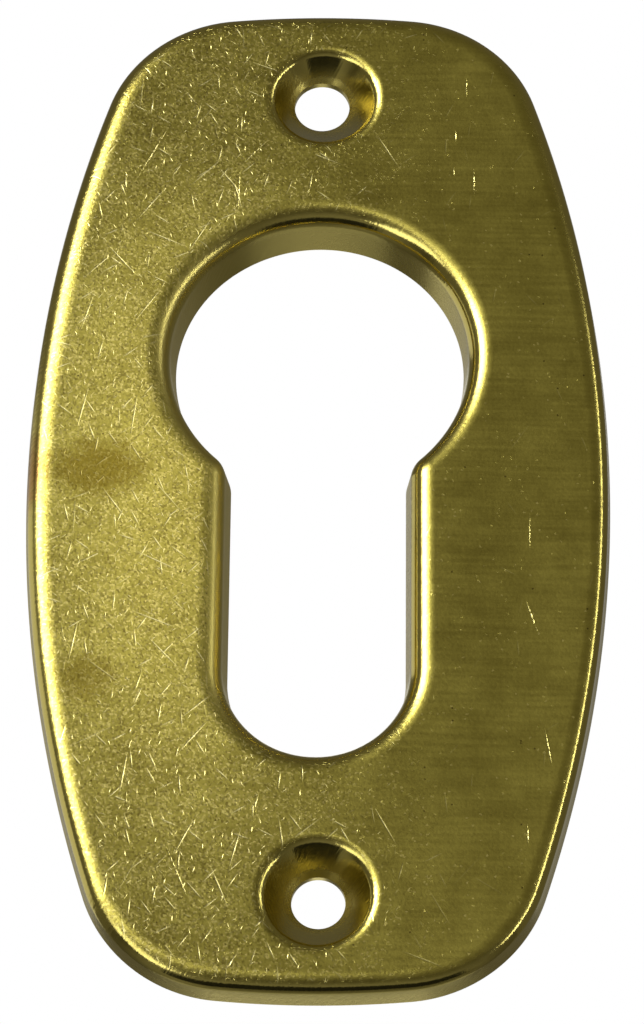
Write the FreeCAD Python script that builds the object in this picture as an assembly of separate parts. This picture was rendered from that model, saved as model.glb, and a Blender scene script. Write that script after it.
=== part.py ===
import FreeCAD, Part
import math
import os

# Pressed brass escutcheon for a door lock cylinder. Millimetres.
# X to the right, Z up the door, Y into the door. The back rim lies on Y = 0 and the face looks towards -Y.

# outline at the back rim: two bowed sides, two bowed ends, rounded corners
plate_width = 35.0
plate_height = 64.5
side_radius = 82.5
end_radius = 62.5
corner_radius = 9.0

# the sheet and the folded skirt round it
sheet_thickness = 0.8
plate_depth = 2.4
skirt_draft = 7.0
skirt_fold_radius = 1.3

# profile cylinder that passes through: a round barrel with a narrow leg under it
cylinder_diameter = 17.0
cylinder_leg_width = 10.0
cylinder_height = 33.0
barrel_clearance = 0.25
leg_side_clearance = 0.25
leg_end_clearance = 1.0
barrel_height = 8.25

# collar drawn back round the keyhole, longer than the skirt, tapered down to a straight land at its rim
collar_depth = 3.6
collar_land = 0.6
collar_draft = 8.0
collar_fold_radius = 1.4
throat_radius = 2.0

# screw dimples, one above and one below the keyhole: a steep wall, then a dished floor down to the hole
screw_spacing = 52.4
screw_diameter = 3.0
screw_clearance = 0.2
dimple_diameter = 6.6
dimple_wall_angle = 55.0
dimple_floor_angle = 40.0
dimple_lip_radius = 0.75
dimple_floor_radius = 3.0
hole_land = 0.4

edge_gap = 0.01


def vec(x, y, z):
    return FreeCAD.Vector(x, y, z)


def arc(cx, cz, r, a0, a1, y):
    circle = Part.Circle(vec(cx, y, cz), vec(0, -1, 0), r)
    first = min(a0, a1)
    start = circle.parameter(vec(cx + r * math.cos(first), y, cz + r * math.sin(first)))
    return Part.ArcOfCircle(circle, start, start + abs(a1 - a0)).toShape()


def segment(x0, z0, x1, z1, y):
    return Part.makeLine(vec(x0, y, z0), vec(x1, y, z1))


def plate_outline(shrink, y):
    """Closed wire of the plate's outline, moved inwards by shrink."""
    half_width = plate_width / 2
    half_height = plate_height / 2
    r_corner = min(corner_radius, 0.9 * half_width)
    side_x = half_width - side_radius
    end_z = half_height - end_radius
    # the corner arc touches both bowed arcs from inside
    r1 = side_radius - r_corner
    r2 = end_radius - r_corner
    gap = math.hypot(side_x, end_z)
    along = (gap * gap + r1 * r1 - r2 * r2) / (2 * gap)
    across = math.sqrt(max(r1 * r1 - along * along, 0.0))
    ux = -side_x / gap
    uz = end_z / gap
    corner_x = side_x + ux * along - uz * across
    corner_z = uz * along + ux * across
    turn_side = math.atan2(corner_z, corner_x - side_x)
    turn_end = math.atan2(corner_z - end_z, corner_x)
    half_turn = math.pi
    rs = side_radius - shrink
    re = end_radius - shrink
    rc = r_corner - shrink
    edges = [
        arc(side_x, 0, rs, -turn_side, turn_side, y),
        arc(corner_x, corner_z, rc, turn_side, turn_end, y),
        arc(0, end_z, re, turn_end, half_turn - turn_end, y),
        arc(-corner_x, corner_z, rc, half_turn - turn_end, half_turn - turn_side, y),
        arc(-side_x, 0, rs, half_turn - turn_side, half_turn + turn_side, y),
        arc(-corner_x, -corner_z, rc, half_turn + turn_side, half_turn + turn_end, y),
        arc(0, -end_z, re, half_turn + turn_end, 2 * half_turn - turn_end, y),
        arc(corner_x, -corner_z, rc, 2 * half_turn - turn_end, 2 * half_turn - turn_side, y),
    ]
    return Part.Wire(edges)


keyhole_radius = cylinder_diameter / 2 + barrel_clearance
slot_half_width = cylinder_leg_width / 2 + leg_side_clearance
slot_foot = cylinder_height - cylinder_diameter / 2 + leg_end_clearance


def keyhole_outline(grow, y):
    """Closed wire of the keyhole, moved into the metal by grow."""
    throat_x = slot_half_width + throat_radius
    throat_z = -math.sqrt((keyhole_radius + throat_radius) ** 2 - throat_x ** 2)
    meet = math.atan2(throat_z, throat_x)
    r = keyhole_radius + grow
    w = slot_half_width + grow
    rt = throat_radius - grow
    foot_z = barrel_height - slot_foot + slot_half_width
    neck_z = barrel_height + throat_z
    edges = [
        arc(0, barrel_height, r, meet, math.pi - meet, y),
        arc(-throat_x, neck_z, rt, -meet, 0, y),
        segment(-w, neck_z, -w, foot_z, y),
        arc(0, foot_z, w, math.pi, 2 * math.pi, y),
        segment(w, foot_z, w, neck_z, y),
        arc(throat_x, neck_z, rt, math.pi, math.pi + meet, y),
    ]
    return Part.Wire(edges)


def tapered(outline, shift0, y0, shift1, y1):
    """Solid between the outline at y0 and the same outline at y1, each moved by its own shift."""
    return Part.makeLoft([outline(shift0, y0), outline(shift1, y1)], True, True)


def straight(outline, shift, y0, y1):
    """Solid with the outline, moved by shift, as its section from y0 to y1."""
    return Part.Face(outline(shift, y0)).extrude(vec(0, y1 - y0, 0))


def flat_edges(shape, y, box):
    """Edges that lie on the plane y and inside the box (x0, z0, x1, z1)."""
    found = []
    for edge in shape.Edges:
        b = edge.BoundBox
        if abs(b.YMin - y) > edge_gap or abs(b.YMax - y) > edge_gap:
            continue
        if b.XMin > box[0] and b.XMax < box[2] and b.ZMin > box[1] and b.ZMax < box[3]:
            found.append(edge)
    return found


def turned(points, z):
    """Solid of revolution about the Y axis line at height z from (radius, y) points."""
    line = [vec(r, y, z) for r, y in points]
    face = Part.Face(Part.makePolygon(line + [line[0]]))
    return face.revolve(vec(0, 0, z), vec(0, 1, 0), 360)


face_y = -plate_depth
under_y = face_y + sheet_thickness
collar_y = face_y + collar_depth
land_y = collar_y - collar_land
skirt_slope = math.tan(math.radians(skirt_draft))
skirt_wall = sheet_thickness / math.cos(math.radians(skirt_draft))
collar_slope = math.tan(math.radians(collar_draft))
collar_wall = sheet_thickness / math.cos(math.radians(collar_draft))
everything = (-plate_width, -plate_height, plate_width, plate_height)

# outside of the pressing, with the fold round the face
body = tapered(plate_outline, 0, 0, skirt_slope * plate_depth, face_y)
body = body.makeFillet(skirt_fold_radius, flat_edges(body, face_y, everything))

# hollow behind the face, one sheet thickness inside it, with the inside of the fold cut flat
hollow_top = skirt_wall + skirt_slope * (plate_depth - sheet_thickness)
below = 1.0
hollow = tapered(plate_outline, skirt_wall - skirt_slope * below, below, hollow_top, under_y)
inner_fold = max(skirt_fold_radius - sheet_thickness, 0.1)
hollow = hollow.makeChamfer(inner_fold, flat_edges(hollow, under_y, everything))
plate = body.cut(hollow)

# outside of the collar, from within the face's sheet to its back rim
root_y = face_y + 0.5 * sheet_thickness
root_shift = collar_wall + collar_slope * (land_y - root_y)
plate = plate.fuse(tapered(keyhole_outline, collar_wall, land_y, root_shift, root_y))
plate = plate.fuse(straight(keyhole_outline, collar_wall, land_y, collar_y))

# back of the dimples: a cone that runs down to a flat seat on the door
hole_radius = (screw_diameter + 2 * screw_clearance) / 2
wall_slope = 1 / math.tan(math.radians(dimple_wall_angle))
floor_slope = math.tan(math.radians(dimple_floor_angle))
wall_shift = sheet_thickness / math.sin(math.radians(dimple_wall_angle))
mouth_radius = dimple_diameter / 2
for z in (-screw_spacing / 2, screw_spacing / 2):
    back_root = mouth_radius + wall_shift - wall_slope * 0.5 * sheet_thickness
    back_seat = mouth_radius + wall_shift - wall_slope * plate_depth
    bump = turned([(0, root_y), (back_root, root_y), (back_seat, 0), (0, 0)], z)
    plate = plate.fuse(bump)
plate = plate.removeSplitter()

# inside of the fold where the collar leaves the back of the sheet
reach = collar_wall + collar_slope * collar_depth + edge_gap
key_box = (
    -keyhole_radius - reach,
    barrel_height - slot_foot - reach,
    keyhole_radius + reach,
    barrel_height + keyhole_radius + reach,
)
collar_root = max(collar_fold_radius - sheet_thickness, 0.1)
plate = plate.makeChamfer(collar_root, flat_edges(plate, under_y, key_box))

# the keyhole itself
beyond = 1.0
wall_rise = collar_slope * (land_y - face_y + beyond)
plate = plate.cut(tapered(keyhole_outline, 0, land_y, wall_rise, face_y - beyond))
plate = plate.cut(straight(keyhole_outline, 0, land_y, collar_y + beyond))
plate = plate.makeFillet(collar_fold_radius, flat_edges(plate, face_y, key_box))

# front of the dimples and their holes
edge_y = -hole_land
drop = edge_y - face_y + floor_slope * hole_radius
corner_depth = (drop - floor_slope * mouth_radius) / (1 - floor_slope * wall_slope)
corner_r = mouth_radius - wall_slope * corner_depth
corner_y = face_y + corner_depth
for z in (-screw_spacing / 2, screw_spacing / 2):
    above_radius = mouth_radius + wall_slope * beyond
    tip_y = edge_y + floor_slope * hole_radius
    dish = turned([(0, face_y - beyond), (above_radius, face_y - beyond), (corner_r, corner_y), (0, tip_y)], z)
    dish_box = (-corner_r - 1, z - corner_r - 1, corner_r + 1, z + corner_r + 1)
    dish = dish.makeFillet(dimple_floor_radius, flat_edges(dish, corner_y, dish_box))
    hole = Part.makeCylinder(hole_radius, plate_depth + beyond, vec(0, face_y, z), vec(0, 1, 0))
    plate = plate.cut(dish)
    mouth_box = (-mouth_radius - 1, z - mouth_radius - 1, mouth_radius + 1, z + mouth_radius + 1)
    plate = plate.makeFillet(dimple_lip_radius, flat_edges(plate, face_y, mouth_box))
    plate = plate.cut(hole)

plate = plate.removeSplitter()
if plate.ShapeType == "Compound":
    plate = plate.Solids[0]

os.makedirs("parts", exist_ok=True)
plate.exportStep("parts/escutcheon_plate.step")
print("volume mm3", round(plate.Volume, 2), "valid", plate.isValid(), "solids", len(plate.Solids))
print("bounds", plate.BoundBox)
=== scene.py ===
import math
import bpy
import numpy as np
from mathutils import Euler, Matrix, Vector
from mathutils.geometry import delaunay_2d_cdt


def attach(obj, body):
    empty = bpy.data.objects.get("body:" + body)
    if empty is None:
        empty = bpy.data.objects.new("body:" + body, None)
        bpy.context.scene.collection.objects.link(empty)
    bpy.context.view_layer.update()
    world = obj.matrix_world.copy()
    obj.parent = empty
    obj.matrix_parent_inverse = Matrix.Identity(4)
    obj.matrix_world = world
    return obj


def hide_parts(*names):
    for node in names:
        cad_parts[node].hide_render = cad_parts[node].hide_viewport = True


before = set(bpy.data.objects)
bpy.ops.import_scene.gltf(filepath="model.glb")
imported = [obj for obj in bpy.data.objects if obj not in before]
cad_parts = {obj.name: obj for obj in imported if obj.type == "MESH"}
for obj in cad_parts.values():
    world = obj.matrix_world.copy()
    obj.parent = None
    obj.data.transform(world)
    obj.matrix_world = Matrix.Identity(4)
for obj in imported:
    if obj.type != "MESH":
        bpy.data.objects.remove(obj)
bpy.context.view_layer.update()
mm = 0.001  # lengths are in millimetres until they go into a mesh, a lamp or the camera


def roundedPath(corners, radii, side, easing=0.0):
    # Straight runs between corners, each corner replaced by an arc that touches both runs.
    # The first arc is eased, so that it starts flatter and ends tighter:
    # curvature = (1 + easing * (2 t - 1)) / radius, with t from 0 to 1 along it.
    # The normal is the direction of travel turned a quarter to the right (side 1) or left (side -1).
    corners = np.array(corners, float)
    points, normals = [], []
    for i in range(len(corners)):
        if i in (0, len(corners) - 1):
            j = min(i, len(corners) - 2)
            u = corners[j + 1] - corners[j]
            u /= np.hypot(*u)
            points.append(corners[i][None])
            normals.append(np.array([[u[1], -u[0]]]) * side)
            continue
        u = corners[i] - corners[i - 1]
        w = corners[i + 1] - corners[i]
        u /= np.hypot(*u)
        w /= np.hypot(*w)
        turn = math.atan2(u[0] * w[1] - u[1] * w[0], u @ w)
        steps = 400
        t = np.linspace(0, 1, steps + 1)
        bent = abs(turn) * (t + (easing if i == 1 else 0) * (t * t - t))
        run = np.c_[np.cos(bent), np.sin(bent)] * radii[i] * abs(turn) / steps
        run = np.vstack([[0, 0], np.cumsum((run[1:] + run[:-1]) / 2, 0)])
        tangent = run[-1, 0] - run[-1, 1] / math.tan(abs(turn))
        pitch = 7 if radii[i] > 0.2 else 18  # degrees; the small rounds need fewer points
        count = max(int(abs(math.degrees(turn)) / pitch) + 2, 3)
        pick = np.searchsorted(bent, np.linspace(0, abs(turn), count) - 1e-9)
        a = bent[pick][:, None]
        left = np.array([-u[1], u[0]]) * np.sign(turn)
        points.append(corners[i] - u * tangent + run[pick, :1] * u + run[pick, 1:] * left)
        heading = np.cos(a) * u + np.sin(a) * left
        normals.append(np.c_[heading[:, 1], -heading[:, 0]] * side)
    return np.vstack(points), np.vstack(normals)


def arcPoints(x, z, radius, start, end, count):
    # centre plus radius along evenly spaced angles, the last one left out; normals point outwards
    a = np.linspace(start, end, count, endpoint=False)
    return np.c_[x + radius * np.cos(a), z + radius * np.sin(a)], np.c_[np.cos(a), np.sin(a)]


def straightPoints(x, z0, z1, count, normalX):
    # evenly spaced heights on an upright line, the last one left out
    z = np.linspace(z0, z1, count, endpoint=False)
    return np.c_[np.full(count, x), z], np.c_[np.full(count, normalX), np.zeros(count)]


plate = {
    "width": 35.0, "height": 64.5,  # outline at the back rim
    "sideRadius": 82.5, "endRadius": 62.5, "cornerRadius": 9.0,
    "depth": 2.4, "sheet": 0.8,
    "draft": 7.0,  # lean of the skirt, degrees
    # the fold was pressed unevenly; the solid has 1.3 all round
    "foldLeft": 1.45, "foldRight": 1.0, "foldTop": 1.4, "foldBottom": 1.1,
    "rimOuter": 0.16, "rimInner": 0.1, "innerFold": 0.5,
    "easing": 0.6,  # how much flatter than its radius the fold starts
    "foldStart": 1.12,  # where the eased fold starts, as a multiple of its radius
    # the face stands this much higher at the keyhole's fold, and how fast that dies away
    "lip": 0.12, "lipReach": 4.5,
    "density": 3,  # outline points, as a multiple of about 200
    # points of the flat sheet, and how far they stay from a fold
    "facePitch": 0.9, "backPitch": 1.6, "clear": 0.3,
    # how far a normal looks forwards where the scuffed face begins and has faded in
    "flatFrom": 0.82, "flatOver": 0.16,
}


def plateOutline(v):
    # Two wide bowed arcs and two end arcs, joined by corner arcs whose centres lie where
    # the circles of radius (side - corner) and (end - corner) round the bowed arcs' centres cross.
    sideX = v["width"] / 2 - v["sideRadius"]
    endZ = v["height"] / 2 - v["endRadius"]
    r1 = v["sideRadius"] - v["cornerRadius"]
    r2 = v["endRadius"] - v["cornerRadius"]
    gap = math.hypot(sideX, endZ)
    along = (gap ** 2 + r1 ** 2 - r2 ** 2) / (2 * gap)
    across = math.sqrt(r1 ** 2 - along ** 2)
    ux, uz = -sideX / gap, endZ / gap
    cx, cz = sideX + ux * along - uz * across, uz * along + ux * across
    s, e, p = math.atan2(cz, cx - sideX), math.atan2(cz - endZ, cx), math.pi
    n, rc = v["density"], v["cornerRadius"]
    parts = [
        arcPoints(sideX, 0, v["sideRadius"], -s, s, 48 * n),
        arcPoints(cx, cz, rc, s, e, 20 * n),
        arcPoints(0, endZ, v["endRadius"], e, p - e, 16 * n),
        arcPoints(-cx, cz, rc, p - e, p - s, 20 * n),
        arcPoints(-sideX, 0, v["sideRadius"], p - s, p + s, 48 * n),
        arcPoints(-cx, -cz, rc, p + s, p + e, 20 * n),
        arcPoints(0, -endZ, v["endRadius"], p + e, 2 * p - e, 16 * n),
        arcPoints(cx, -cz, rc, 2 * p - e, 2 * p - s, 20 * n),
    ]
    return np.vstack([q[0] for q in parts]), np.vstack([q[1] for q in parts])


keyhole = {
    "radius": 8.75, "halfSlot": 5.25,  # round end and half the slot's width, at the collar's rim
    "height": 8.25, "foot": 25.5,  # centre of the round end, and from there down to the slot's foot
    "throat": 2.0,  # rounding where the slot meets the round end
    "depth": 3.6, "land": 0.6, "draft": 8.0,
    "foldRadius": 1.4, "rimInner": 0.12, "rimOuter": 0.16, "root": 0.6, "easing": 0.25,
    # start of the fold as a multiple of its radius, and mm of flat metal beside the fold and the root;
    # the throat has no room for more
    "foldStart": 1.03, "foldFlat": 0.08, "rootFlat": 0.15,
    "density": 3,
}


def keyholeOutline(v):
    # A round end, two throat arcs that touch it, two straight sides and a full round foot.
    # The normal points into the metal, so that moving the points along it widens the hole.
    tx = v["halfSlot"] + v["throat"]
    tz = -math.sqrt((v["radius"] + v["throat"]) ** 2 - tx ** 2)
    meet = math.atan2(tz, tx)
    footZ = v["height"] - v["foot"] + v["halfSlot"]
    neckZ = v["height"] + tz
    n, p = v["density"], math.pi
    leftThroat = arcPoints(-tx, neckZ, v["throat"], -meet, 0, 14 * n)
    rightThroat = arcPoints(tx, neckZ, v["throat"], p, p + meet, 14 * n)
    parts = [
        arcPoints(0, v["height"], v["radius"], meet, p - meet, 96 * n),
        (leftThroat[0], -leftThroat[1]),
        straightPoints(-v["halfSlot"], neckZ, footZ, 16 * n, -1.0),
        arcPoints(0, footZ, v["halfSlot"], p, 2 * p, 48 * n),
        straightPoints(v["halfSlot"], footZ, neckZ, 16 * n, 1.0),
        (rightThroat[0], -rightThroat[1]),
    ]
    return np.vstack([q[0] for q in parts]), np.vstack([q[1] for q in parts])


dimple = {
    "spacing": 52.4, "mouth": 3.3, "hole": 1.7,
    "wallAngle": 50.0, "floorAngle": 46.0, "lip": 0.95, "floor": 3.0, "land": 0.55,
    "edge": 0.07, "seatEdge": 0.1, "backRoot": 0.4, "rootFlat": 0.32,
    # how far across and up each dimple was pressed, and its hole punched, from their places
    "upperPress": (0.17, -0.28), "upperPunch": (0.0, 0.0),
    "lowerPress": (0.2, 0.0), "lowerPunch": (0.26, 0.0),
    "lowerHole": 1.56,  # the lower hole came out smaller
    "density": 144,
}

margin = 0.12  # flat ring kept between a fold and the open sheet


def foldRadii(outline, v):
    # Mean of the four named radii, plus half the difference right-left times the cosine of the angle
    # round the plate, half the difference top-bottom times its sine, and the rest times the cosine
    # of twice the angle.
    angle = np.arctan2(outline[:, 1], outline[:, 0])
    level, upright = (v["foldRight"] + v["foldLeft"]) / 2, (v["foldTop"] + v["foldBottom"]) / 2
    return ((level + upright) / 2 + (v["foldRight"] - v["foldLeft"]) / 2 * np.cos(angle)
            + (v["foldTop"] - v["foldBottom"]) / 2 * np.sin(angle)
            + (level - upright) / 2 * np.cos(2 * angle))


def plateProfile(v, foldRadius):
    # (outward shift, depth) over the fold, down the skirt, round the rim and up the inside
    slope = math.tan(math.radians(v["draft"]))
    wall = v["sheet"] / math.cos(math.radians(v["draft"]))
    face, under = -v["depth"], v["sheet"] - v["depth"]
    top = slope * v["depth"]
    hollow = wall - slope * under
    bend = foldRadius * v["foldStart"]
    inner = v["innerFold"]
    corners = [
        (-top - bend - margin, face), (-top, face), (0, 0), (-wall, 0),
        (-hollow, under), (-hollow - inner - margin, under),
    ]
    return roundedPath(corners, [0, foldRadius, v["rimOuter"], v["rimInner"], inner, 0], 1, v["easing"])


def unevenFold(v, radii):
    # every profile point is a straight-line function of the fold's radius,
    # so two profiles give all the others
    first, normals = plateProfile(v, 1.0)
    second = plateProfile(v, 2.0)[0]
    return first[None] + (radii[:, None, None] - 1.0) * (second - first)[None], normals


def keyholeProfile(v):
    # (shift into the metal, depth) over the fold, down the collar, round its rim and back
    slope = math.tan(math.radians(v["draft"]))
    wall = plate["sheet"] / math.cos(math.radians(v["draft"]))
    face, under = -plate["depth"], plate["sheet"] - plate["depth"]
    rim = face + v["depth"]
    landY = rim - v["land"]
    rise = slope * (landY - face)
    bend = v["foldRadius"] * v["foldStart"]
    root = wall + slope * (landY - under)
    corners = [
        (rise + bend + v["foldFlat"], face), (rise, face), (0, rim), (wall, rim),
        (root, under), (root + v["root"] + v["rootFlat"], under),
    ]
    radii = [0, v["foldRadius"], v["rimInner"], v["rimOuter"], v["root"], 0]
    return roundedPath(corners, radii, -1, v["easing"])


def dimpleProfile(v):
    # (radius, depth) over the lip, down the wall and the dished floor, through the hole and back
    wallSlope = 1 / math.tan(math.radians(v["wallAngle"]))
    floorSlope = math.tan(math.radians(v["floorAngle"]))
    face, under = -plate["depth"], plate["sheet"] - plate["depth"]
    thick = plate["sheet"] / math.sin(math.radians(v["wallAngle"]))
    drop = plate["depth"] - v["land"] + floorSlope * v["hole"]
    depth = (drop - floorSlope * v["mouth"]) / (1 - floorSlope * wallSlope)
    lip = v["lip"] * math.tan(math.radians(v["wallAngle"]) / 2)
    seat = v["mouth"] + thick - wallSlope * plate["depth"]
    root = v["mouth"] + thick - wallSlope * plate["sheet"]
    corners = [
        (v["mouth"] + lip + margin, face), (v["mouth"], face), (v["mouth"] - wallSlope * depth, face + depth),
        (v["hole"], -v["land"]), (v["hole"], 0), (seat, 0), (root, under), (root + v["rootFlat"], under),
    ]
    radii = [0, v["lip"], v["floor"], v["edge"], v["edge"], v["seatEdge"], v["backRoot"], 0]
    return roundedPath(corners, radii, -1)


# The pressing: rings of points for each fold, joined by the flat face and its underside

def carry(outline, profile):
    # every profile point placed on every outline point: outline + normal * shift, at the profile's depth
    (p, n), (q, m) = outline, profile
    q = q if q.ndim == 3 else q[None]
    x = p[:, None, 0] + n[:, None, 0] * q[..., 0]
    z = p[:, None, 1] + n[:, None, 1] * q[..., 0]
    y = np.broadcast_to(q[..., 1], x.shape)
    nx = n[:, None, 0] * m[None, :, 0]
    nz = n[:, None, 1] * m[None, :, 0]
    ny = np.broadcast_to(m[None, :, 1], x.shape)
    return np.stack([x, y, z], -1), np.stack([nx, ny, nz], -1)


def gridFaces(rows, columns, first):
    # quads between neighbouring profile points, closed round the outline
    i = np.arange(rows)[:, None]
    j = np.arange(columns - 1)[None, :]
    a = i * columns + j
    b = (i + 1) % rows * columns + j
    return np.stack([a, b, b + 1, a + 1], -1).reshape(-1, 4) + first


def inside(points, loop):
    # even number of crossings of a level ray means outside
    a, b = loop, np.roll(loop, -1, 0)
    px, pz = points[:, 0, None], points[:, 1, None]
    crosses = (a[None, :, 1] > pz) != (b[None, :, 1] > pz)
    rise = np.where(b[:, 1] == a[:, 1], 1.0, b[:, 1] - a[:, 1])
    x = a[None, :, 0] + (pz - a[None, :, 1]) * ((b[:, 0] - a[:, 0]) / rise)[None]
    return (crosses & (px < x)).sum(1) % 2 == 1


def sheetFaces(loops, pitch, clear):
    # Triangles between the outer loop and the holes, over the loops' own points and a staggered
    # grid of points at the given pitch that stay clear of them.
    rim = np.vstack(loops)
    low, high = rim.min(0), rim.max(0)
    gx, gz = np.meshgrid(np.arange(low[0], high[0], pitch), np.arange(low[1], high[1], pitch * 0.87))
    gx = gx + (np.arange(gx.shape[0]) % 2)[:, None] * pitch / 2
    grid = np.c_[gx.ravel(), gz.ravel()]
    keep = inside(grid, loops[0])
    for hole in loops[1:]:
        keep &= ~inside(grid, hole)
    grid = grid[keep]
    near = np.sqrt(((grid[:, None] - rim[None]) ** 2).sum(-1).min(1))
    grid = grid[near > clear]
    points = np.vstack([rim, grid])
    edges, first = [], 0
    for loop in loops:
        k = np.arange(len(loop))
        edges.append(np.c_[k, np.roll(k, -1)] + first)
        first += len(loop)
    cut = delaunay_2d_cdt([Vector(p) for p in points.tolist()], np.vstack(edges).tolist(), [], 0, 1e-6)
    faces = np.array(cut[2])
    assert len(cut[0]) == len(points)
    middle = points[faces].mean(1)
    keep = inside(middle, loops[0])
    for hole in loops[1:]:
        keep &= ~inside(middle, hole)
    return grid, faces[keep]


def raisedLip(points, normals):
    # The face lies lower away from the keyhole: lip * (1 - exp(-(distance / reach) ^ 2)), less and
    # less down to the rim. A normal leans by the slope of that, as far as it looks along the depth.
    def drop(x, z):
        slotZ = np.clip(z, keyhole["height"] - keyhole["foot"] + keyhole["halfSlot"], keyhole["height"])
        slotGap = np.hypot(x, z - slotZ) - keyhole["halfSlot"]
        gap = np.minimum(np.hypot(x, z - keyhole["height"]) - keyhole["radius"], slotGap)
        away = np.clip(gap - keyhole["foldRadius"], 0, None) / plate["lipReach"]
        return plate["lip"] * (1 - np.exp(-away ** 2))
    x, y, z = points.T
    share = np.clip(-y / plate["depth"], 0, 1)
    # slopes from the drop 0.05 mm to each side
    slopeX = (drop(x + 0.05, z) - drop(x - 0.05, z)) * 10
    slopeZ = (drop(x, z + 0.05) - drop(x, z - 0.05)) * 10
    slope = np.c_[slopeX, np.zeros(len(x)), slopeZ]
    leaned = normals - slope * (normals[:, 1] * share)[:, None]
    points = np.c_[x, y + drop(x, z) * share, z]
    return points, leaned / np.linalg.norm(leaned, axis=1)[:, None]


def pressing():
    # one closed surface; returns points in metres, faces and the exact normal at each point
    edge = plateOutline(plate)
    plateRing = (edge, unevenFold(plate, foldRadii(edge[0], plate)))
    rings = [plateRing, (keyholeOutline(keyhole), keyholeProfile(keyhole))]
    turn = arcPoints(0, 0, 1.0, 0, 2 * math.pi, dimple["density"])[1]
    for end in (1, -1):
        centre = np.array([[0, end * dimple["spacing"] / 2]]).repeat(dimple["density"], 0)
        rings.append(((centre, turn), dimpleProfile(dimple)))
    points, normals, quads, fronts, backs = [], [], [], [], []
    first = 0
    for k, (outline, profile) in enumerate(rings):
        p, n = carry(outline, profile)
        if k > 1:
            # the whole dimple moves with its press, and towards its hole more and more with the punch
            reach = dimple["mouth"] - dimple["hole"]
            share = np.clip((dimple["mouth"] - profile[0][None, :, 0]) / reach, 0, 1)[..., None]
            press, punch = (np.array(dimple[("upper", "lower")[k - 2] + word]) for word in ("Press", "Punch"))
            p[..., [0, 2]] += press + (punch - press) * share
            if k == 3:
                p[..., [0, 2]] -= turn[:, None] * (dimple["hole"] - dimple["lowerHole"]) * share
        rows, columns = p.shape[:2]
        f = gridFaces(rows, columns, 0)
        flat = p.reshape(-1, 3)
        across = np.cross(flat[f[:, 1]] - flat[f[:, 0]], flat[f[:, 3]] - flat[f[:, 0]])
        if (across * n.reshape(-1, 3)[f[:, 0]]).sum() < 0:
            f = f[:, ::-1]
        index = np.arange(rows * columns).reshape(rows, columns) + first
        fronts.append(index[:, 0])
        backs.append(index[:, -1])
        points.append(flat)
        normals.append(n.reshape(-1, 3))
        quads.append(f + first)
        first += rows * columns
    points, normals = np.vstack(points), np.vstack(normals)
    triangles = []
    sheets = (
        (fronts, -plate["depth"], -1, plate["facePitch"]),
        (backs, plate["sheet"] - plate["depth"], 1, plate["backPitch"]),
    )
    for loops, depth, facing, pitch in sheets:
        grid, faces = sheetFaces([points[k][:, [0, 2]] for k in loops], pitch, plate["clear"])
        index = np.concatenate(loops + [np.arange(len(grid)) + first])
        first += len(grid)
        points = np.vstack([points, np.c_[grid[:, 0], np.full(len(grid), depth), grid[:, 1]]])
        normals = np.vstack([normals, np.tile([0.0, facing, 0.0], (len(grid), 1))])
        faces = index[faces]
        a, b, c = points[faces[:, 0]], points[faces[:, 1]], points[faces[:, 2]]
        wrong = np.cross(b - a, c - a)[:, 1] * facing < 0
        faces[wrong] = faces[wrong][:, ::-1]
        triangles.append(faces)
    points, normals = raisedLip(points, normals)
    return points * mm, np.vstack(quads), np.vstack(triangles), normals


def makeMesh(name, points, quads, triangles, normals):
    mesh = bpy.data.meshes.new(name)
    mesh.vertices.add(len(points))
    mesh.vertices.foreach_set("co", points.astype(np.float32).ravel())
    corners = np.concatenate([quads.ravel(), triangles.ravel()])
    starts = np.concatenate([np.arange(len(quads)) * 4, len(quads) * 4 + np.arange(len(triangles)) * 3])
    mesh.loops.add(len(corners))
    mesh.loops.foreach_set("vertex_index", corners.astype(np.int32))
    mesh.polygons.add(len(starts))
    mesh.polygons.foreach_set("loop_start", starts.astype(np.int32))
    mesh.update(calc_edges=True)
    mesh.validate()
    mesh.polygons.foreach_set("use_smooth", np.ones(len(mesh.polygons), bool))
    mesh.normals_split_custom_set_from_vertices(normals.tolist())
    piece = bpy.data.objects.new(name, mesh)
    bpy.context.scene.collection.objects.link(piece)
    return piece


points, quads, triangles, normals = pressing()
escutcheon = makeMesh("escutcheon", points, quads, triangles, normals)
for name, values in (("flatFace", (-normals[:, 1] - plate["flatFrom"]) / plate["flatOver"]),
    ("hiddenSide", normals[:, 1] * 3)):
    share = escutcheon.data.attributes.new(name, "FLOAT", "POINT")
    share.data.foreach_set("value", np.clip(values, 0, 1).astype(np.float32))
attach(escutcheon, "root")
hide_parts("escutcheon_plate")
print("pressing:", len(quads) * 2 + len(triangles), "triangles")


def colour(hexValue):
    # sRGB hex to linear
    c = np.array([int(hexValue[i:i + 2], 16) / 255 for i in (0, 2, 4)])
    c = np.where(c <= 0.04045, c / 12.92, ((c + 0.055) / 1.055) ** 2.4)
    return (*c.tolist(), 1.0)


def node(tree, kind, settings=None, links=None):
    # adds a node; settings go to attributes, or to sockets when the key is a socket's name or number;
    # links name source sockets
    made = tree.nodes.new(kind)
    for key, value in (settings or {}).items():
        if isinstance(key, str) and hasattr(made, key):
            setattr(made, key, value)
        else:
            made.inputs[key].default_value = value
    for key, source in (links or {}).items():
        tree.links.new(source, made.inputs[key])
    return made


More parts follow.
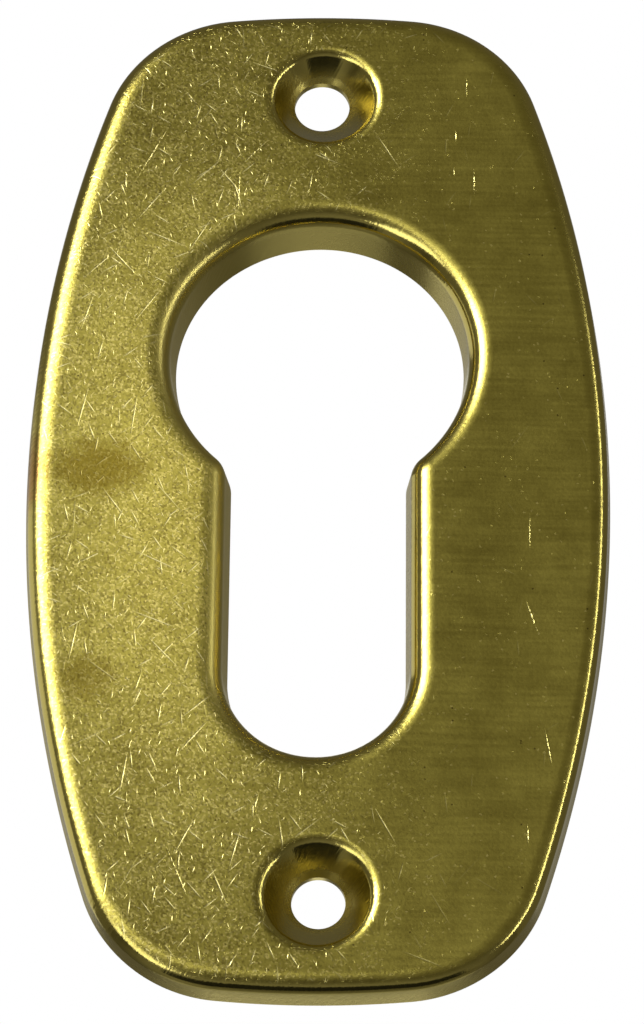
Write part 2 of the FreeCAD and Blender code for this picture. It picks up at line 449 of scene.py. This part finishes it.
brassValues = {
    "colour": "CFBE54", "olive": "BBAA48", "fresh": "F6E27A", "pit": "7A6A2E", "fold": "D3C164",
    "scratch": "FBEDA0",
    "faceRoughness": 0.31, "foldRoughness": 0.14, "wallRoughness": 0.28, "backRoughness": 0.42,
    # middle and reach in mm of the most scuffed part
    "worn": (-7.3, -0.5, 14.9, 28.6), "wornRoughness": 0.25,
    "mottle": 4.0,  # mm across a patch of tarnish
    "speck": 0.115, "grain": 0.1,  # mm, the fine scuffing left by years of handling
    # mm between and along the rolling lines, drawn about twice too coarse so that they show
    "linePitch": 0.13, "lineLength": 6.0,
    # mm
    "grainDepth": 0.01, "lineDepth": 0.0006, "speckDepth": 0.008, "scratchDepth": 0.011, "markDepth": 0.02,
    "pitDepth": 0.004,
    "pitCell": 0.8, "pitShare": 0.03,  # mm between places for a dark pit, and the share of them that has one
    # size of the cells, length and width in mm, share of the cells that hold a scratch on the left and on
    # the right, pattern
    "scratchSets": [
        (0.55, 0.42, 0.06, 0.55, 0.04, 3.0),
        (1.4, 1.3, 0.11, 0.8, 0.09, 11.0),
        (3.2, 3.0, 0.11, 0.75, 0.1, 23.0),
    ],
    # the scratches that stand out: both ends in mm across and up the face
    "marks": [
        (9.02, 27.41, 9.02, 25.99), (8.33, 23.65, 8.33, 22.8), (8.2, 21.04, 8.2, 20.34),
        (9.43, 21.05, 9.42, 18.95),
        (12.63, -2.23, 12.6, -4.83), (12.27, -7.72, 13.18, -10.39), (12.31, -21.79, 12.35, -23.31),
        (13.35, -15.92, 13.78, -18.4), (14.12, 27.93, 13.78, 26.0), (-3.26, 22.91, -4.96, 21.01),
        (-4.96, 21.01, -5.08, 17.52), (-11.39, 19.94, -9.22, 24.16), (-8.51, -23.11, -6.99, -26.74),
    ],
    "markWidth": 0.055,
    # middle, half sizes in mm and strength
    "stains": [(-13.1, 0.6, 2.8, 1.9, 0.7), (-13.4, -13.0, 1.8, 1.6, 0.45)],
    "edgeStain": (-17.05, 0.7, 0.9, 2.4, 0.6),
    "stainColour": "8C7419", "edgeStainColour": "9A5A30",
}


def scratches(tree, flat, left, values):
    # One thin ellipse in each Voronoi cell, turned by the cell's own random angle: 1 on its line,
    # 0 outside it.
    # It shows where the cell's random blue is under the share, which runs from left to right.
    cell, length, width, shareLeft, shareRight, pattern = values
    scaled = node(tree, "ShaderNodeVectorMath",
        {"operation": "MULTIPLY_ADD", 1: (1 / cell,) * 3, 2: (pattern,) * 3}, {0: flat})
    cells = node(tree, "ShaderNodeTexVoronoi", {"voronoi_dimensions": "2D", "Scale": 1.0},
        {"Vector": scaled.outputs[0]})
    own = node(tree, "ShaderNodeVectorMath", {"operation": "SUBTRACT"},
        {0: scaled.outputs[0], 1: cells.outputs["Position"]})
    random = node(tree, "ShaderNodeSeparateColor", {}, {0: cells.outputs["Color"]})
    # the angles gather round upright and lean either way
    angle = node(tree, "ShaderNodeMapRange", {"To Min": -2.8, "To Max": -0.35}, {"Value": random.outputs[0]})
    turned = node(tree, "ShaderNodeVectorRotate", {"rotation_type": "Z_AXIS"},
        {"Vector": own.outputs[0], "Angle": angle.outputs[0]})
    fitted = node(tree, "ShaderNodeVectorMath",
        {"operation": "MULTIPLY", 1: (2 * cell / length, 2 * cell / width, 0)}, {0: turned.outputs[0]})
    line = node(tree, "ShaderNodeTexGradient", {"gradient_type": "SPHERICAL"}, {"Vector": fitted.outputs[0]})
    share = node(tree, "ShaderNodeMapRange", {"To Min": shareRight, "To Max": shareLeft}, {"Value": left})
    there = node(tree, "ShaderNodeMath", {"operation": "SUBTRACT", "use_clamp": True},
        {0: share.outputs[0], 1: random.outputs[2]})
    strength = node(tree, "ShaderNodeMath", {"operation": "MULTIPLY", "use_clamp": True, 1: 3.0},
        {0: there.outputs[0]})
    return node(tree, "ShaderNodeMath", {"operation": "MULTIPLY"},
        {0: line.outputs[1], 1: strength.outputs[0]}).outputs[0]


def spot(tree, flat, noise, values):
    # a soft ellipse whose border is eaten away by noise: full strength in its middle, 0 outside it
    x, z, halfWidth, halfHeight, strength = values
    near = node(tree, "ShaderNodeMapping", {
        "vector_type": "TEXTURE", "Location": (x, z, 0), "Scale": (halfWidth * 1.5, halfHeight * 1.5, 1)},
        {"Vector": flat})
    soft = node(tree, "ShaderNodeTexGradient", {"gradient_type": "SPHERICAL"}, {"Vector": near.outputs[0]})
    eaten = node(tree, "ShaderNodeMath", {"operation": "MULTIPLY_ADD", 1: 0.9},
        {0: noise, 2: soft.outputs[1]})
    return node(tree, "ShaderNodeMapRange", {
        "interpolation_type": "SMOOTHSTEP", "From Min": 0.55, "From Max": 1.15, "To Max": strength},
        {"Value": eaten.outputs[0]}).outputs[0]


def oldBrass(v):
    # Rolled brass sheet, pressed and once polished. The folds still mirror what is round them.
    # The face is scuffed and scratched, which blurs them more, and it has gone olive in soft patches.
    material = bpy.data.materials.new("wornPolishedBrass")
    material.use_nodes = True
    tree = material.node_tree
    shader = tree.nodes["Principled BSDF"]
    shader.inputs["Metallic"].default_value = 1.0
    coords = node(tree, "ShaderNodeTexCoord").outputs["Object"]
    # metres to mm, with the face on Y = 0
    place = node(tree, "ShaderNodeMapping",
        {"Location": (0, plate["depth"], 0), "Scale": (1000, 1000, 1000)}, {"Vector": coords}).outputs[0]
    part = node(tree, "ShaderNodeSeparateXYZ", {}, {0: place})
    # the face's own two directions, sheared by the depth so that nothing streaks down the walls
    across = node(tree, "ShaderNodeMath", {"operation": "MULTIPLY_ADD", 1: 0.6},
        {0: part.outputs[1], 2: part.outputs[0]})
    up = node(tree, "ShaderNodeMath", {"operation": "MULTIPLY_ADD", 1: 0.6},
        {0: part.outputs[1], 2: part.outputs[2]})
    flat = node(tree, "ShaderNodeCombineXYZ", {}, {0: across.outputs[0], 1: up.outputs[0]}).outputs[0]
    left = node(tree, "ShaderNodeMapRange", {"From Min": 9.0, "From Max": -5.0},
        {"Value": part.outputs[0]}).outputs[0]
    face = node(tree, "ShaderNodeAttribute", {"attribute_name": "flatFace"}).outputs["Fac"]
    back = node(tree, "ShaderNodeAttribute", {"attribute_name": "hiddenSide"}).outputs["Fac"]

    # scuffing and rolling lines
    grain = node(tree, "ShaderNodeTexNoise",
        {"noise_dimensions": "2D", "Scale": 0.5 / v["grain"], "Detail": 2.0, "Roughness": 0.6},
        {"Vector": flat}).outputs[0]
    x, z, reachAcross, reachUp = v["worn"]
    near = node(tree, "ShaderNodeMapping",
        {"vector_type": "TEXTURE", "Location": (x, z, 0), "Scale": (reachAcross, reachUp, 1)},
        {"Vector": flat})
    worn = node(tree, "ShaderNodeTexGradient", {"gradient_type": "SPHERICAL"},
        {"Vector": near.outputs[0]}).outputs[1]
    worn = node(tree, "ShaderNodeMapRange", {"interpolation_type": "SMOOTHSTEP"}, {"Value": worn}).outputs[0]
    drawn = node(tree, "ShaderNodeVectorMath",
        {"operation": "MULTIPLY", 1: (1 / v["lineLength"], 0.5 / v["linePitch"], 0)}, {0: flat})
    rolled = node(tree, "ShaderNodeTexNoise", {"noise_dimensions": "2D", "Scale": 1.0, "Detail": 2.0},
        {"Vector": drawn.outputs[0]}).outputs[0]

    # brass and olive patches, crossed by the rolling lines; the folds and walls are cleaner and paler
    dense = node(tree, "ShaderNodeTexNoise",
        {"noise_dimensions": "2D", "Scale": 0.7, "Detail": 3.0, "Roughness": 0.7},
        {"Vector": flat}).outputs[0]
    mottle = node(tree, "ShaderNodeTexNoise", {"Scale": 1 / v["mottle"], "Detail": 4.0, "Roughness": 0.65},
        {"Vector": place}).outputs[0]
    lined = node(tree, "ShaderNodeMath", {"operation": "MULTIPLY_ADD", 1: 0.24}, {0: rolled, 2: mottle})
    lined = node(tree, "ShaderNodeMath", {"operation": "MULTIPLY_ADD", 1: 0.4},
        {0: dense, 2: lined.outputs[0]})
    patches = node(tree, "ShaderNodeMapRange", {"From Min": 0.64, "From Max": 1.0},
        {"Value": lined.outputs[0]}).outputs[0]
    paint = node(tree, "ShaderNodeMix",
        {"data_type": "RGBA", 6: colour(v["olive"]), 7: colour(v["colour"])}, {0: patches}).outputs[2]
    paint = node(tree, "ShaderNodeMix", {"data_type": "RGBA", 6: colour(v["fold"])},
        {0: face, 7: paint}).outputs[2]

    # scratches: the random sets, then the ones that stand out
    lines = scratches(tree, flat, left, v["scratchSets"][0])
    for values in v["scratchSets"][1:]:
        more = scratches(tree, flat, left, values)
        lines = node(tree, "ShaderNodeMath", {"operation": "MAXIMUM"}, {0: lines, 1: more}).outputs[0]
    marks = None
    for x0, z0, x1, z1 in v["marks"]:
        near = node(tree, "ShaderNodeMapping", {
            "vector_type": "TEXTURE", "Location": ((x0 + x1) / 2, (z0 + z1) / 2, 0),
            "Rotation": (0, 0, math.atan2(z1 - z0, x1 - x0)),
            "Scale": (math.hypot(x1 - x0, z1 - z0) / 2, v["markWidth"], 1)}, {"Vector": flat})
        one = node(tree, "ShaderNodeTexGradient", {"gradient_type": "SPHERICAL"},
            {"Vector": near.outputs[0]}).outputs[1]
        marks = one if marks is None else node(tree, "ShaderNodeMath", {"operation": "MAXIMUM"},
            {0: marks, 1: one}).outputs[0]
    lines = node(tree, "ShaderNodeMath", {"operation": "MULTIPLY"}, {0: lines, 1: face}).outputs[0]
    beads = node(tree, "ShaderNodeMapRange", {"From Min": 0.4, "From Max": 0.56}, {"Value": grain}).outputs[0]
    beads = node(tree, "ShaderNodeMath", {"operation": "MULTIPLY"}, {0: beads, 1: face}).outputs[0]
    marks = node(tree, "ShaderNodeMath", {"operation": "MULTIPLY"}, {0: marks, 1: beads}).outputs[0]
    cut = node(tree, "ShaderNodeMath", {"operation": "MAXIMUM"}, {0: lines, 1: marks}).outputs[0]

    # small dark pits, one in some of the cells
    cells = node(tree, "ShaderNodeTexVoronoi", {"voronoi_dimensions": "2D", "Scale": 1 / v["pitCell"]},
        {"Vector": flat})
    dots = node(tree, "ShaderNodeMapRange", {"From Min": 0.1, "From Max": 0.04}, {"Value": cells.outputs[0]})
    chosen = node(tree, "ShaderNodeSeparateColor", {}, {0: cells.outputs[1]})
    some = node(tree, "ShaderNodeMath", {"operation": "GREATER_THAN", 1: 1 - v["pitShare"]},
        {0: chosen.outputs[0]})
    pits = node(tree, "ShaderNodeMath", {"operation": "MULTIPLY"},
        {0: dots.outputs[0], 1: some.outputs[0]}).outputs[0]
    pits = node(tree, "ShaderNodeMath", {"operation": "MULTIPLY"}, {0: pits, 1: face}).outputs[0]

    # pale and dark specks of the scuffing, one in some of the cells and most on the left
    specks = node(tree, "ShaderNodeTexVoronoi", {"voronoi_dimensions": "2D", "Scale": 1 / v["speck"]},
        {"Vector": flat})
    chosen = node(tree, "ShaderNodeSeparateColor", {}, {0: specks.outputs[1]})
    most = node(tree, "ShaderNodeMapRange", {"To Min": 1.08, "To Max": 0.6}, {"Value": left})
    # more of them where a coarser noise is high
    most = node(tree, "ShaderNodeMath", {"operation": "MULTIPLY_ADD", 1: -0.6},
        {0: dense, 2: most.outputs[0]})
    most = node(tree, "ShaderNodeMath", {"operation": "ADD", 1: 0.3}, {0: most.outputs[0]})
    most = node(tree, "ShaderNodeMath", {"operation": "MINIMUM", 1: 0.99}, {0: most.outputs[0]})
    pale = node(tree, "ShaderNodeMapRange", {"From Max": 1.0},
        {"Value": chosen.outputs[0], "From Min": most.outputs[0]}).outputs[0]
    deep = node(tree, "ShaderNodeMapRange", {"To Min": 0.12, "To Max": 0.6}, {"Value": left})
    dark = node(tree, "ShaderNodeMapRange", {"From Min": 0.6, "From Max": 1.0},
        {"Value": chosen.outputs[1], "To Max": deep.outputs[0]}).outputs[0]
    dark = node(tree, "ShaderNodeMath", {"operation": "MULTIPLY"}, {0: dark, 1: face}).outputs[0]
    pale = node(tree, "ShaderNodeMath", {"operation": "MULTIPLY"}, {0: pale, 1: face}).outputs[0]
    paint = node(tree, "ShaderNodeMix", {"data_type": "RGBA", 7: colour(v["fresh"])},
        {0: pale, 6: paint}).outputs[2]
    paint = node(tree, "ShaderNodeMix", {"data_type": "RGBA", 7: colour(v["pit"])},
        {0: dark, 6: paint}).outputs[2]

    # colour: fresh metal in the scratches, dirt in the pits, brown stains on the left
    paint = node(tree, "ShaderNodeMix", {"data_type": "RGBA", 7: colour(v["scratch"])},
        {0: cut, 6: paint}).outputs[2]
    paint = node(tree, "ShaderNodeMix", {"data_type": "RGBA", 7: colour(v["pit"])},
        {0: pits, 6: paint}).outputs[2]
    front = node(tree, "ShaderNodeMath", {"operation": "SUBTRACT", 0: 1.0}, {1: back}).outputs[0]
    border = node(tree, "ShaderNodeTexNoise", {"Scale": 0.9, "Detail": 4.0, "Roughness": 0.75},
        {"Vector": place}).outputs[0]
    stains = [(values, "stainColour") for values in v["stains"]] + [(v["edgeStain"], "edgeStainColour")]
    for values, word in stains:
        stain = node(tree, "ShaderNodeMath", {"operation": "MULTIPLY"},
            {0: spot(tree, flat, border, values), 1: front}).outputs[0]
        paint = node(tree, "ShaderNodeMix", {"data_type": "RGBA", 7: colour(v[word])},
            {0: stain, 6: paint}).outputs[2]
    tree.links.new(paint, shader.inputs["Base Color"])

    # roughness: smooth folds, duller walls, scuffed face, dull back, and a little more from each pattern
    deep = node(tree, "ShaderNodeMapRange",
        {"From Min": 0.8, "From Max": 1.6, "To Min": v["foldRoughness"], "To Max": v["wallRoughness"]},
        {"Value": part.outputs[1]})
    rough = node(tree, "ShaderNodeMix", {3: v["faceRoughness"]}, {0: face, 2: deep.outputs[0]}).outputs[0]
    rough = node(tree, "ShaderNodeMix", {3: v["backRoughness"]}, {0: back, 2: rough}).outputs[0]
    worn = node(tree, "ShaderNodeMath", {"operation": "MULTIPLY"}, {0: worn, 1: front}).outputs[0]
    added = ((worn, v["wornRoughness"]), (mottle, 0.08), (grain, 0.06), (rolled, 0.06), (cut, 0.05))
    for source, amount in added:
        rough = node(tree, "ShaderNodeMath", {"operation": "MULTIPLY_ADD", 1: amount},
            {0: source, 2: rough}).outputs[0]
    # the noises' own middle value taken off
    even = node(tree, "ShaderNodeMath", {"operation": "SUBTRACT", 1: 0.1}, {0: rough})
    tree.links.new(even.outputs[0], shader.inputs["Roughness"])

    # relief in mm; the scuffing is deepest on the left
    depth = node(tree, "ShaderNodeMath", {"operation": "MULTIPLY_ADD", 1: 0.4, 2: 0.6}, {0: left})
    grain = node(tree, "ShaderNodeMath", {"operation": "MULTIPLY"},
        {0: grain, 1: depth.outputs[0]}).outputs[0]
    relief = None
    heights = (
        (grain, v["grainDepth"]), (pale, -v["speckDepth"]), (rolled, v["lineDepth"]),
        (lines, -v["scratchDepth"]), (marks, -v["markDepth"]), (pits, -v["pitDepth"]),
    )
    for source, height in heights:
        one = node(tree, "ShaderNodeMath", {"operation": "MULTIPLY", 1: height}, {0: source}).outputs[0]
        relief = one if relief is None else node(tree, "ShaderNodeMath", {"operation": "ADD"},
            {0: relief, 1: one}).outputs[0]
    bump = node(tree, "ShaderNodeBump", {"Strength": 1.0, "Distance": mm}, {"Height": relief})
    tree.links.new(bump.outputs[0], shader.inputs["Normal"])
    return material


escutcheon.data.materials.append(oldBrass(brassValues))
print("finish done")


# Stage: pale floor, white paper behind, dim room, soft lamps

def flatSheet(name, corners, material):
    mesh = bpy.data.meshes.new(name)
    mesh.from_pydata(corners, [], [(0, 1, 2, 3)])
    sheet = bpy.data.objects.new(name, mesh)
    sheet.data.materials.append(material)
    bpy.context.scene.collection.objects.link(sheet)
    return sheet


stageValues = {
    "floorColour": "B4B2AC", "floorHeight": -0.8, "floorHalf": 2.0,
    "paperColour": "E8E8E8", "paperDistance": 1.5, "paperHalf": 0.26, "paperTop": 1.2,
    "flagColour": "1A1A18", "flagHeight": -0.45, "flagHalf": 0.3, "flagFront": -0.25, "flagBack": 0.03,
    "roomLevel": 0.12, "roomTint": (1.0, 0.96, 0.84),  # a little warm
}


def floorPaint(v):
    material = bpy.data.materials.new("palePaintedFloor")
    material.use_nodes = True
    shader = material.node_tree.nodes["Principled BSDF"]
    shader.inputs["Base Color"].default_value = colour(v["floorColour"])
    shader.inputs["Roughness"].default_value = 0.9
    return material


def flagCloth(v):
    # black studio cloth, which gives polished metal its dark edges
    material = bpy.data.materials.new("blackStudioCloth")
    material.use_nodes = True
    shader = material.node_tree.nodes["Principled BSDF"]
    shader.inputs["Base Color"].default_value = colour(v["flagColour"])
    shader.inputs["Roughness"].default_value = 1.0
    return material


def whitePaper(v):
    # plain matt paper that the camera, and the metal's reflections, see as white
    material = bpy.data.materials.new("whitePaper")
    material.use_nodes = True
    tree = material.node_tree
    shader = tree.nodes["Principled BSDF"]
    shader.inputs["Base Color"].default_value = colour(v["paperColour"])
    shader.inputs["Roughness"].default_value = 0.9
    path = node(tree, "ShaderNodeLightPath")
    seen = node(tree, "ShaderNodeMath", {"operation": "MAXIMUM"},
        {0: path.outputs["Is Camera Ray"], 1: path.outputs["Is Glossy Ray"]})
    seen = node(tree, "ShaderNodeMath", {"operation": "MAXIMUM"},
        {0: seen.outputs[0], 1: path.outputs["Is Transmission Ray"]})
    white = node(tree, "ShaderNodeEmission", {"Color": (1, 1, 1, 1), "Strength": 1.0})
    mix = node(tree, "ShaderNodeMixShader", {},
        {0: seen.outputs[0], 1: shader.outputs[0], 2: white.outputs[0]})
    tree.links.new(mix.outputs[0], tree.nodes["Material Output"].inputs["Surface"])
    return material


h, t, d = (stageValues["paper" + word] for word in ("Half", "Top", "Distance"))
f = stageValues["floorHeight"]
b = stageValues["floorHalf"]
flatSheet("floor", [(-b, -b, f), (b, -b, f), (b, b, f), (-b, b, f)], floorPaint(stageValues))
flatSheet("paperBehind", [(-h, d, f), (h, d, f), (h, d, t), (-h, d, t)], whitePaper(stageValues))

w, k, n, e = (stageValues["flag" + word] for word in ("Half", "Height", "Front", "Back"))
flag = flatSheet("blackFlag", [(-w, n, k), (w, n, k), (w, e, k), (-w, e, k)], flagCloth(stageValues))
flag.visible_camera = False

world = bpy.data.worlds.new("dimRoom")
bpy.context.scene.world = world
world.use_nodes = True
room = [stageValues["roomLevel"] * c for c in stageValues["roomTint"]]
world.node_tree.nodes["Background"].inputs["Color"].default_value = (*room, 1)

# degrees to the right of straight ahead and up; distance, width and height in metres; brightness
lamps = {
    "windowLeft": (-43, 24, 0.9, 0.34, 0.44, 15.5),
    "sillLeft": (-26, 3, 0.9, 0.8, 0.1, 3.0),
    "lowLeft": (-42, -24, 0.8, 0.25, 0.5, 2.5),
    "cardLeft": (-114, 10, 0.8, 0.9, 0.5, 0.7),
    "stripRight": (62, 2, 0.8, 0.07, 0.9, 6.0),
    "backLeft": (-160, 22, 0.8, 0.4, 0.5, 0.26),
    "backRight": (160, 22, 0.8, 0.4, 0.5, 0.16),
    "backLow": (180, -40, 0.8, 0.9, 0.4, 0.25),
}
daylight = "E8ECFF"  # a little cool


def softLamp(name, azimuth, elevation, distance, width, height, brightness):
    a, e = math.radians(azimuth), math.radians(elevation)
    towards = Vector((math.sin(a) * math.cos(e), -math.cos(a) * math.cos(e), math.sin(e)))
    lamp = bpy.data.lights.new(name, "AREA")
    lamp.shape = "RECTANGLE"
    lamp.size, lamp.size_y = width, height
    lamp.energy = brightness * math.pi * width * height
    lamp.color = colour(daylight)[:3]
    holder = bpy.data.objects.new(name, lamp)
    holder.location = towards * distance
    holder.rotation_euler = towards.to_track_quat("Z", "Y").to_euler()
    holder.visible_camera = False
    bpy.context.scene.collection.objects.link(holder)


for name, values in lamps.items():
    softLamp(name, *values)
print("stage and lamps done")


# Camera: a long lens from below, looking up at the plate

cameraValues = {
    "lens": 154.15, "sensor": 36.0,  # mm
    "place": (4.011, -238.872, -110.019), "turn": (114.4722, -0.5371, 0.6608),  # mm and degrees
    "clip": (0.01, 10.0),  # metres
}
lens = bpy.data.cameras.new("frontCamera")
lens.lens = cameraValues["lens"]
lens.sensor_width = cameraValues["sensor"]
lens.clip_start, lens.clip_end = cameraValues["clip"]
camera = bpy.data.objects.new("frontCamera", lens)
camera.location = Vector(cameraValues["place"]) * mm
camera.rotation_euler = Euler([math.radians(a) for a in cameraValues["turn"]])
bpy.context.scene.collection.objects.link(camera)
bpy.context.scene.camera = camera
bpy.context.scene.view_settings.view_transform = "Standard"

bpy.context.view_layer.update()
